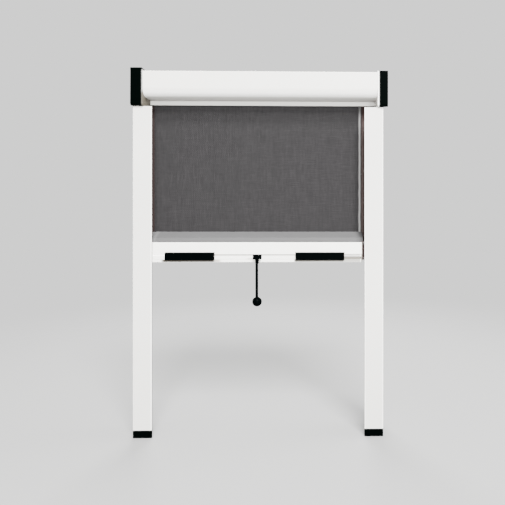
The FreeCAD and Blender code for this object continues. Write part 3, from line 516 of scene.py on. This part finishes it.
def band_marks(nt):
    """Tones matched to the photograph: painted light on the side that faces the room, and painted shade near the
    cassette.
    """
    fade = noise(nt, scaled(nt, 1, 1, 1), 900.0, 3.0)
    lit_front_brown = ramp(nt, fade, [(0.3, (0.052, 0.038, 0.035, 1)), (0.7, (0.070, 0.053, 0.050, 1))])
    front = facing(nt, "Y", 0.3, 0.7)
    return [(front, lit_front_brown), (both(nt, front, span(nt, "Z", 394.0, 440.0, 12.0)), (0.024, 0.0145, 0.0135, 1.0))]


def tape_marks(nt):
    """Tones matched to the photograph: a paler line along the middle, and painted shade just under the cassette."""
    return [
        (span(nt, "X", 123.15, 124.25, 0.2), (0.190, 0.187, 0.184, 1.0)),
        (span(nt, "Z", 404.0, 440.0, 8.0), (0.070, 0.069, 0.068, 1.0)),
    ]


brown_band_right = cloth("brown_band_weave_right", (0.018, 0.0125, 0.012, 1.0), 0.0007, contrast=0.35, marks=band_marks)
pale_tape = cloth("pale_tape_weave", (0.086, 0.084, 0.083, 1.0), 0.0008, contrast=0.2, marks=tape_marks)
roll_cloth = cloth("mesh_turns", (0.020, 0.019, 0.020, 1.0), 0.0012, contrast=0.4)

# insect mesh: matt coated yarn, its tone varied from yarn to yarn
MESH_TONE = (0.0149, 0.0142, 0.0146)
mesh_mat, nt, bsdf = material("mesh_yarn", (*MESH_TONE, 1.0), 0.8, specular=0.05)
att = nt.nodes.new("ShaderNodeAttribute")
att.attribute_name = "yarn"
fleck = noise(nt, scaled(nt, 1, 1, 1), 2600.0, 2.0)
mixed = add_maths(nt, att.outputs["Fac"], add_maths(nt, fleck, 0.06, "MULTIPLY"))
yarn_tones = [
    ramp(nt, mixed, [(0.0, tone(MESH_TONE, 0.62 * k)), (0.53, tone(MESH_TONE, k)), (1.0, tone(MESH_TONE, 1.42 * k))])
    for k in (1.0, 1.9)
]
# paler just under the cassette: this offsets a shadow there that is darker than the photograph's
nt.links.new(blend_colours(nt, span(nt, "Z", 402.5, 450.0, 10.0), *yarn_tones), bsdf.inputs["Base Color"])
bump(nt, bsdf, fleck, 0.3, 0.00006)

# braided cord
braid, nt, bsdf = material("cord_braid", (0.0006, 0.0009, 0.0009, 1.0), 0.75, specular=0.01)
fine = noise(nt, scaled(nt, 1, 1, 1), 2400.0, 3.0)
nt.links.new(ramp(nt, fine, [(0.2, (0.0001, 0.0004, 0.0004, 1)), (0.9, (0.0006, 0.0010, 0.0010, 1))]), bsdf.inputs["Base Color"])
bump(nt, bsdf, fine, 0.5, 0.0001)


def wear(obj, m):
    obj.data.materials.clear()
    obj.data.materials.append(m)


for name, m in (
    ("cassette", paint_x), ("left_guide", paint_z), ("right_guide", paint_z), ("pull_bar", paint_bar),
    ("left_side_plate", left_plate), ("right_side_plate", right_plate),
    ("left_end_cap", black_cap), ("right_end_cap", black_cap), ("left_foot", black_cap), ("right_foot", black_cap),
    ("end_cap_screws", steel), ("spring_shaft", steel), ("torsion_spring", steel), ("spring_anchor", black_cap),
    ("roller_tube", alu), ("idle_plug", black_cap), ("spring_plug", black_cap), ("mesh_roll", roll_cloth),
    ("front_top_seal", grey_seal), ("back_top_seal", grey_seal), ("hem_bead", white_plastic),
    ("left_bar_end", white_plastic), ("right_bar_end", bar_end_plastic),
    ("groove_covers", cover_plastic), ("groove_filler", beige),
    ("left_handle", black_grip), ("right_handle", black_grip), ("cord_clip", black_grip), ("cord_ball", black_grip),
    ("left_groove_piles", brown_fibre), ("right_groove_piles", brown_fibre), ("slot_pile", brown_fibre),
    ("bar_end_piles", brown_fibre), ("bottom_pile", brown_fibre),
    ("insect_mesh", mesh_mat), ("mesh_edge_bands", brown_band), ("mesh_edge_tape", pale_tape),
):
    wear(NODES[name], m)
wear(cord, braid)


def mesh_object(name, verts, faces, m, smooth=False):
    me = bpy.data.meshes.new(name)
    me.from_pydata([tuple(v) for v in verts], [], [tuple(f) for f in faces])
    me.update()
    if smooth:
        me.polygons.foreach_set("use_smooth", [True] * len(me.polygons))
    o = link(bpy.data.objects.new(name, me))
    me.materials.append(m)
    return o


# ------------------------------------------------------------ rounded edges
# Mouldings and bar ends with their edges eased, as a tool leaves them.


def eased(name, body, m, width, segments=2, angle=35.0):
    src = NODES[name]
    me = src.data.copy()
    me.transform(src.matrix_world)
    bm = bmesh.new()
    bm.from_mesh(me)
    bmesh.ops.remove_doubles(bm, verts=bm.verts, dist=1e-6)
    bmesh.ops.dissolve_limit(bm, angle_limit=math.radians(0.6), verts=bm.verts, edges=bm.edges)
    edges = [
        e for e in bm.edges
        if e.is_manifold and e.calc_length() > 4.0 * width and e.calc_face_angle(0.0) > math.radians(angle)
    ]
    made = bmesh.ops.bevel(
        bm, geom=edges, offset=width, offset_type="OFFSET", segments=segments, profile=0.5,
        affect="EDGES", clamp_overlap=False, loop_slide=True,
    )
    # the broad flats are shaded flat, so that the eased edges don't bend their light
    rounded = set(made["faces"])
    for f in bm.faces:
        f.smooth = f in rounded or f.calc_area() < 40.0 * MM * MM
    bmesh.ops.recalc_face_normals(bm, faces=bm.faces)
    bm.to_mesh(me)
    smooth = [f.smooth for f in bm.faces]
    bm.free()
    o = link(bpy.data.objects.new(name + "_eased", me))
    wear(o, m)
    me.set_sharp_from_angle(angle=math.radians(38))
    me.polygons.foreach_set("use_smooth", smooth)
    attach(o, body)
    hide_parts(name)
    return o


for name, body, slot_name, m, width in (
    ("left_end_cap", "frame", "black_plastic", black_cap, 0.45),
    ("right_end_cap", "frame", "black_plastic", black_cap, 0.45),
    ("left_foot", "frame", "black_plastic", black_cap, 0.4),
    ("right_foot", "frame", "black_plastic", black_cap, 0.4),
    ("left_handle", "bar", "black_plastic", black_grip, 0.3),
    ("right_handle", "bar", "black_plastic", black_grip, 0.3),
    ("cord_clip", "bar", "black_plastic", black_grip, 0.15),
    ("left_bar_end", "bar", "white_plastic", white_plastic, 0.25),
    ("right_bar_end", "bar", "white_plastic", bar_end_plastic, 0.25),
):
    eased(name, body, m, width * MM)


# -------------------------------------------------------------- insect mesh
# Woven flat yarns, over and under, with the uneven spacing and tone of the
# real cloth. It hangs between the roll and the bar.
MESH_Y = 6.5 * MM
PITCH = 1.287 * MM
LIFT = 0.034 * MM


def wander(n, step, seed_rng):
    """Smooth noise with unit size."""
    raw = seed_rng.normal(0.0, 1.0, n + 2 * step)
    kernel = np.hanning(2 * step + 1)
    out = np.convolve(raw, kernel / np.sqrt((kernel**2).sum()), "same")
    return out[step : step + n]


def woven(name, x0, x1, z0, z1, pitch, cover, cross, m, seed):
    r = np.random.default_rng(seed)
    nx, nz = int(round((x1 - x0) / pitch)), int(round((z1 - z0) / pitch))
    px, pz = (x1 - x0) / nx, (z1 - z0) / nz
    xs = x0 + (np.arange(nx) + 0.5) * px + px * np.clip(0.004 * r.normal(size=nx), -0.010, 0.010)
    zs = z0 + (np.arange(nz) + 0.5) * pz + pz * np.clip(0.02 * r.normal(size=nz), -0.05, 0.05)
    wx = px * np.clip(cover + 0.004 * r.normal(size=nx), 0.5, 1.055)
    wz = pz * np.clip(cross + 0.010 * r.normal(size=nz), 0.4, 0.95)
    tx = 0.5 + 0.022 * r.normal(size=nx)
    # painted light: yarns near the left edge are lighter, offsetting the left guide's shadow
    painted_light_left = 0.11 * np.exp(-(xs - x0) / (16.0 * MM))
    tz = 0.50 + 0.05 * r.normal(size=nz)
    verts, faces, tints = [], [], []
    sign = (-1.0) ** (np.arange(nx)[:, None] + np.arange(nz)[None, :])
    # upright yarns
    zz = np.concatenate([[z0], zs, [z1]])
    n = len(zz)
    for i in range(nx):
        base = len(verts)
        ys = np.concatenate([[0.0], LIFT * sign[i], [0.0]]) + MESH_Y
        lean = 0.003 * px * wander(n, 9, r)
        shade = np.clip(tx[i] + 0.085 * wander(n, 7, r) + 0.035 * wander(n, 2, r) + painted_light_left[i], 0.02, 0.98)
        for z, y, d in zip(zz, ys, lean):
            verts.append((xs[i] - wx[i] / 2 + d, y, z))
            verts.append((xs[i] + wx[i] / 2 + d, y, z))
        for k in range(n - 1):
            a = base + 2 * k
            faces.append((a, a + 1, a + 3, a + 2))
        tints.extend(np.repeat(shade, 2).tolist())
    # cross yarns
    xx = np.concatenate([[x0], xs, [x1]])
    n = len(xx)
    for j in range(nz):
        base = len(verts)
        ys = np.concatenate([[0.0], -LIFT * sign[:, j], [0.0]]) + MESH_Y
        shade = np.clip(tz[j] + 0.16 * wander(n, 6, r), 0.02, 0.98)
        for x, y in zip(xx, ys):
            verts.append((x, y, zs[j] - wz[j] / 2))
            verts.append((x, y, zs[j] + wz[j] / 2))
        for k in range(n - 1):
            a = base + 2 * k
            faces.append((a, a + 2, a + 3, a + 1))
        tints.extend(np.repeat(shade, 2).tolist())
    o = mesh_object(name, verts, faces, m)
    layer = o.data.attributes.new("yarn", "FLOAT", "POINT")
    layer.data.foreach_set("value", np.array(tints, np.float32))
    return o


low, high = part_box("insect_mesh")
Z_HEM, Z_ROLL = 239.3 * MM, 432.5 * MM
netting = woven("insect_mesh_weave", low.x, high.x, Z_HEM - 2.0 * MM, Z_ROLL, PITCH, 1.045, 0.51, mesh_mat, 7)


def strip(name, x0, x1, z0, z1, y_front, thick, m, waver, seed, rows=120, cols=4):
    """A thin closed ribbon whose sides waver a little."""
    r = np.random.default_rng(seed)
    shift = waver * wander(rows + 1, 5, r)
    swell = 0.35 * waver * wander(rows + 1, 3, r)
    verts, faces = [], []
    for side in (0, 1):
        for k in range(rows + 1):
            z = z0 + (z1 - z0) * k / rows
            for c in range(cols + 1):
                t = c / cols
                x = x0 + (x1 - x0) * t + shift[k] + (t - 0.5) * swell[k]
                crown = 0.25 * thick * (1 - (2 * t - 1) ** 2)
                y = y_front - crown if side == 0 else y_front + thick
                verts.append((x, y, z))
    row = cols + 1
    off = row * (rows + 1)
    for k in range(rows):
        for c in range(cols):
            a = k * row + c
            faces.append((a, a + 1, a + row + 1, a + row))
            b = off + a
            faces.append((b, b + row, b + row + 1, b + 1))
        for c in (0, cols):
            a = k * row + c
            f = (a, a + row, off + a + row, off + a)
            faces.append(f if c == 0 else f[::-1])
    for k in (0, rows):
        for c in range(cols):
            a = k * row + c
            f = (a, off + a, off + a + 1, a + 1)
            faces.append(f if k == 0 else f[::-1])
    return mesh_object(name, verts, faces, m, True)


bands = []
for name, x0, x1, seed, m in (("edge_band_left", -151.9, -138.4, 3, brown_band), ("edge_band_right", 126.0, 139.5, 5, brown_band_right)):
    bands.append(strip(name, x0 * MM, x1 * MM, Z_HEM, Z_ROLL, MESH_Y - 0.25 * MM, 0.5 * MM, m, 0.05 * MM, seed))
tape = strip("edge_tape_right", 122.1 * MM, 125.3 * MM, Z_HEM, Z_ROLL - 11.0 * MM, MESH_Y - 0.45 * MM, 0.2 * MM, pale_tape, 0.16 * MM, 11)
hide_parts("insect_mesh")
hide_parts("mesh_edge_bands")
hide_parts("mesh_edge_bands")
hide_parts("mesh_edge_tape")
for o in (netting, bands[0], bands[1], tape):
    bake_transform(o)


# -------------------------------------------------------------------- piles
def pile(name, box, root, tip, spacing, rows, m, seed, back=0.35):
    """Short fibres standing on a woven back. root and tip are the ends along the axis the fibres point in; box gives the other two spans as ((axis, low, high), (axis, low, high)), the long one first."""
    r = np.random.default_rng(seed)
    (la, l0, l1), (sa, s0, s1) = box
    axis = ({0, 1, 2} - {la, sa}).pop()
    verts, faces = [], []
    sign = 1.0 if tip > root else -1.0
    # the back
    base = len(verts)
    for a in (root, root + sign * back * MM):
        for b in (l0, l1):
            for c in (s0, s1):
                p = [0.0, 0.0, 0.0]
                p[axis], p[la], p[sa] = a, b, c
                verts.append(p)
    faces += [tuple(base + i for i in f) for f in ((0, 1, 3, 2), (4, 6, 7, 5), (0, 4, 5, 1), (2, 3, 7, 6), (0, 2, 6, 4), (1, 5, 7, 3))]
    n = max(2, int((l1 - l0) / spacing))
    for k in range(n):
        for j in range(rows):
            u = l0 + (k + 0.5 + 0.35 * r.uniform(-1, 1)) * (l1 - l0) / n
            v = s0 + (j + 0.5 + 0.25 * r.uniform(-1, 1)) * (s1 - s0) / rows
            w = 0.42 * spacing * r.uniform(0.8, 1.2)
            lean_u, lean_v = r.normal(0, 0.22 * spacing), r.normal(0, 0.12 * spacing)
            top = root + (tip - root) * r.uniform(0.86, 1.0)
            b = len(verts)
            for q in range(3):
                t = 2 * math.pi * q / 3 + r.uniform(0, 1)
                p = [0.0, 0.0, 0.0]
                p[axis] = root + sign * 0.2 * back * MM
                p[la] = min(max(u + w * math.cos(t), l0), l1)
                p[sa] = min(max(v + w * math.sin(t), s0), s1)
                verts.append(p)
            for q in range(3):
                t = 2 * math.pi * q / 3 + r.uniform(0, 1)
                p = [0.0, 0.0, 0.0]
                p[axis] = top
                p[la] = min(max(u + lean_u + 0.3 * w * math.cos(t), l0), l1)
                p[sa] = min(max(v + lean_v + 0.3 * w * math.sin(t), s0), s1)
                verts.append(p)
            for q in range(3):
                q2 = (q + 1) % 3
                faces.append((b + q, b + q2, b + 3 + q2, b + 3 + q))
            faces.append((b + 3, b + 4, b + 5))
    return mesh_object(name, verts, faces, m)


def pile_for(node_name, pieces, body):
    for k, o in enumerate(pieces):
        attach(o, body)
        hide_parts(node_name)


def d(v):
    """Depth from the front of the caps, in mm, to Y in metres."""
    return (v - 24.0) * MM


G0, G1 = 8.6 * MM, 404.7 * MM
LP0, RP1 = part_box("left_groove_piles")[0].x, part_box("right_groove_piles")[1].x
left = []
left.append(pile("groove_pile_left_front", ((2, G0, G1), (0, LP0, LP0 + 5.6 * MM)), d(27.25), d(30.18), 1.1 * MM, 5, brown_fibre, 21))
left.append(pile("groove_pile_left_back", ((2, G0, G1), (0, LP0, LP0 + 3.2 * MM)), d(33.75), d(30.82), 1.1 * MM, 3, brown_fibre, 22))
pile_for("left_groove_piles", left, "frame")
right = []
right.append(pile("groove_pile_right_front", ((2, G0, G1), (0, RP1 - 5.6 * MM, RP1)), d(27.25), d(30.18), 1.1 * MM, 5, brown_fibre, 23))
right.append(pile("groove_pile_right_back", ((2, G0, G1), (0, RP1 - 3.2 * MM, RP1)), d(33.75), d(30.82), 1.1 * MM, 3, brown_fibre, 24))
pile_for("right_groove_piles", right, "frame")
slot_fibre = pile("slot_pile_fibre", ((0, -140.9 * MM, 143.1 * MM), (2, 412.6 * MM, 415.6 * MM)), d(34.7), d(30.9), 0.9 * MM, 3, brown_fibre, 25)
pile_for("slot_pile", [slot_fibre], "frame")
low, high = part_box("bottom_pile")
bottom = pile("bottom_pile_fibre", ((0, low.x, high.x), (1, d(20.5), d(24.5))), 217.6 * MM, low.z, 0.9 * MM, 4, brown_fibre, 26, back=2.2)
pile_for("bottom_pile", [bottom], "bar")
ends = []
ends.append(pile("end_pile_left", ((2, 217.1 * MM, 237.6 * MM), (1, d(7.7), d(10.2))), -132.9 * MM, -133.9 * MM, 0.6 * MM, 4, brown_fibre, 27, back=0.6))
ends.append(pile("end_pile_right", ((2, 216.9 * MM, 240.1 * MM), (1, d(7.7), d(10.2))), 124.8 * MM, 129.8 * MM, 0.42 * MM, 6, brown_fibre, 28, back=0.9))
pile_for("bar_end_piles", ends, "bar")

# --------------------------------------------------------------------- ball
# A smooth knob with a short neck round the cord and the line of its mould.
low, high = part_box("cord_ball")
radius = (high.x - low.x) / 2
centre = Vector(((low.x + high.x) / 2, (low.y + high.y) / 2, low.z + radius))
profile = []
steps = 40
for k in range(steps + 1):
    a = -math.pi / 2 + math.pi * k / steps
    rr, zz = radius * math.cos(a), radius * math.sin(a)
    if abs(zz) < 0.16 * MM:
        rr *= 0.985
    profile.append((max(rr, 0.0), zz))
profile = [p for p in profile if not (p[1] > 0 and p[0] < 2.2 * MM)]
profile += [(2.25 * MM, profile[-1][1] + 0.15 * MM), (2.1 * MM, profile[-1][1] + 0.45 * MM), (1.7 * MM, profile[-1][1] + 0.5 * MM), (1.5 * MM, profile[-1][1] + 0.3 * MM), (1.5 * MM, profile[-1][1] - 0.6 * MM)]
seg = 56
verts, faces = [], []
for rr, zz in profile[1:]:
    for s in range(seg):
        t = 2 * math.pi * s / seg
        verts.append((centre.x + rr * math.cos(t), centre.y + rr * math.sin(t), centre.z + zz))
verts.append((centre.x, centre.y, centre.z + profile[0][1]))
pole = len(verts) - 1
rows = len(profile) - 1
for k in range(rows - 1):
    for s in range(seg):
        s2 = (s + 1) % seg
        faces.append((k * seg + s, k * seg + s2, (k + 1) * seg + s2, (k + 1) * seg + s))
for s in range(seg):
    faces.append((pole, (s + 1) % seg, s))
ball = mesh_object("cord_knob", verts, faces, black_ball, True)
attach(ball, "bar")
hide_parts("cord_ball")

# -------------------------------------------------------------------- stage
PALE = (1.30, 1.305, 1.295)
world = bpy.data.worlds.new("studio")
scene.world = world
world.use_nodes = True
world.node_tree.nodes["Background"].inputs["Color"].default_value = (*[c / 1.3 for c in PALE], 1.0)
world.node_tree.nodes["Background"].inputs["Strength"].default_value = 1.3

floor_mat, nt, bsdf = material("floor_pale", (0.25, 0.25, 0.248, 1.0), 0.9, specular=0.05)
tc = nt.nodes.new("ShaderNodeTexCoord")
ln = nt.nodes.new("ShaderNodeVectorMath")
ln.operation = "LENGTH"
nt.links.new(tc.outputs["Object"], ln.inputs[0])
fade = nt.nodes.new("ShaderNodeMapRange")
fade.interpolation_type = "SMOOTHERSTEP"
fade.inputs["From Min"].default_value = 0.30
fade.inputs["From Max"].default_value = 1.3
fade.inputs["To Min"].default_value = 1.0
fade.inputs["To Max"].default_value = 0.0
nt.links.new(ln.outputs["Value"], fade.inputs["Value"])
nt.links.new(fade.outputs["Result"], bsdf.inputs["Alpha"])
bm = bmesh.new()
bmesh.ops.create_circle(bm, cap_ends=True, segments=96, radius=1.35)
me = bpy.data.meshes.new("floor")
bm.to_mesh(me)
bm.free()
floor = link(bpy.data.objects.new("floor", me))
floor.location.z = -0.0002
me.materials.append(floor_mat)


def area(name, loc, target, size, power, colour=(1, 1, 1)):
    l = bpy.data.lights.new(name, "AREA")
    l.shape = "RECTANGLE"
    l.size, l.size_y = size
    l.energy = power
    l.color = colour
    o = link(bpy.data.objects.new(name, l))
    o.location = loc
    o.rotation_euler = (Vector(target) - Vector(loc)).to_track_quat("-Z", "Y").to_euler()
    return o


area("key", (0.5, -1.65, 1.8), (0, 0, 0.25), (1.0, 1.0), 320.0)
area("front_fill", (0.5, -2.1, 0.12), (0, 0, 0.25), (1.2, 1.0), 75.0)
area("right_fill", (1.9, 0.2, 0.9), (0, 0, 0.25), (1.0, 1.2), 45.0)
area("back", (-0.3, 2.0, 1.2), (0, 0, 0.25), (1.4, 1.2), 190.0)
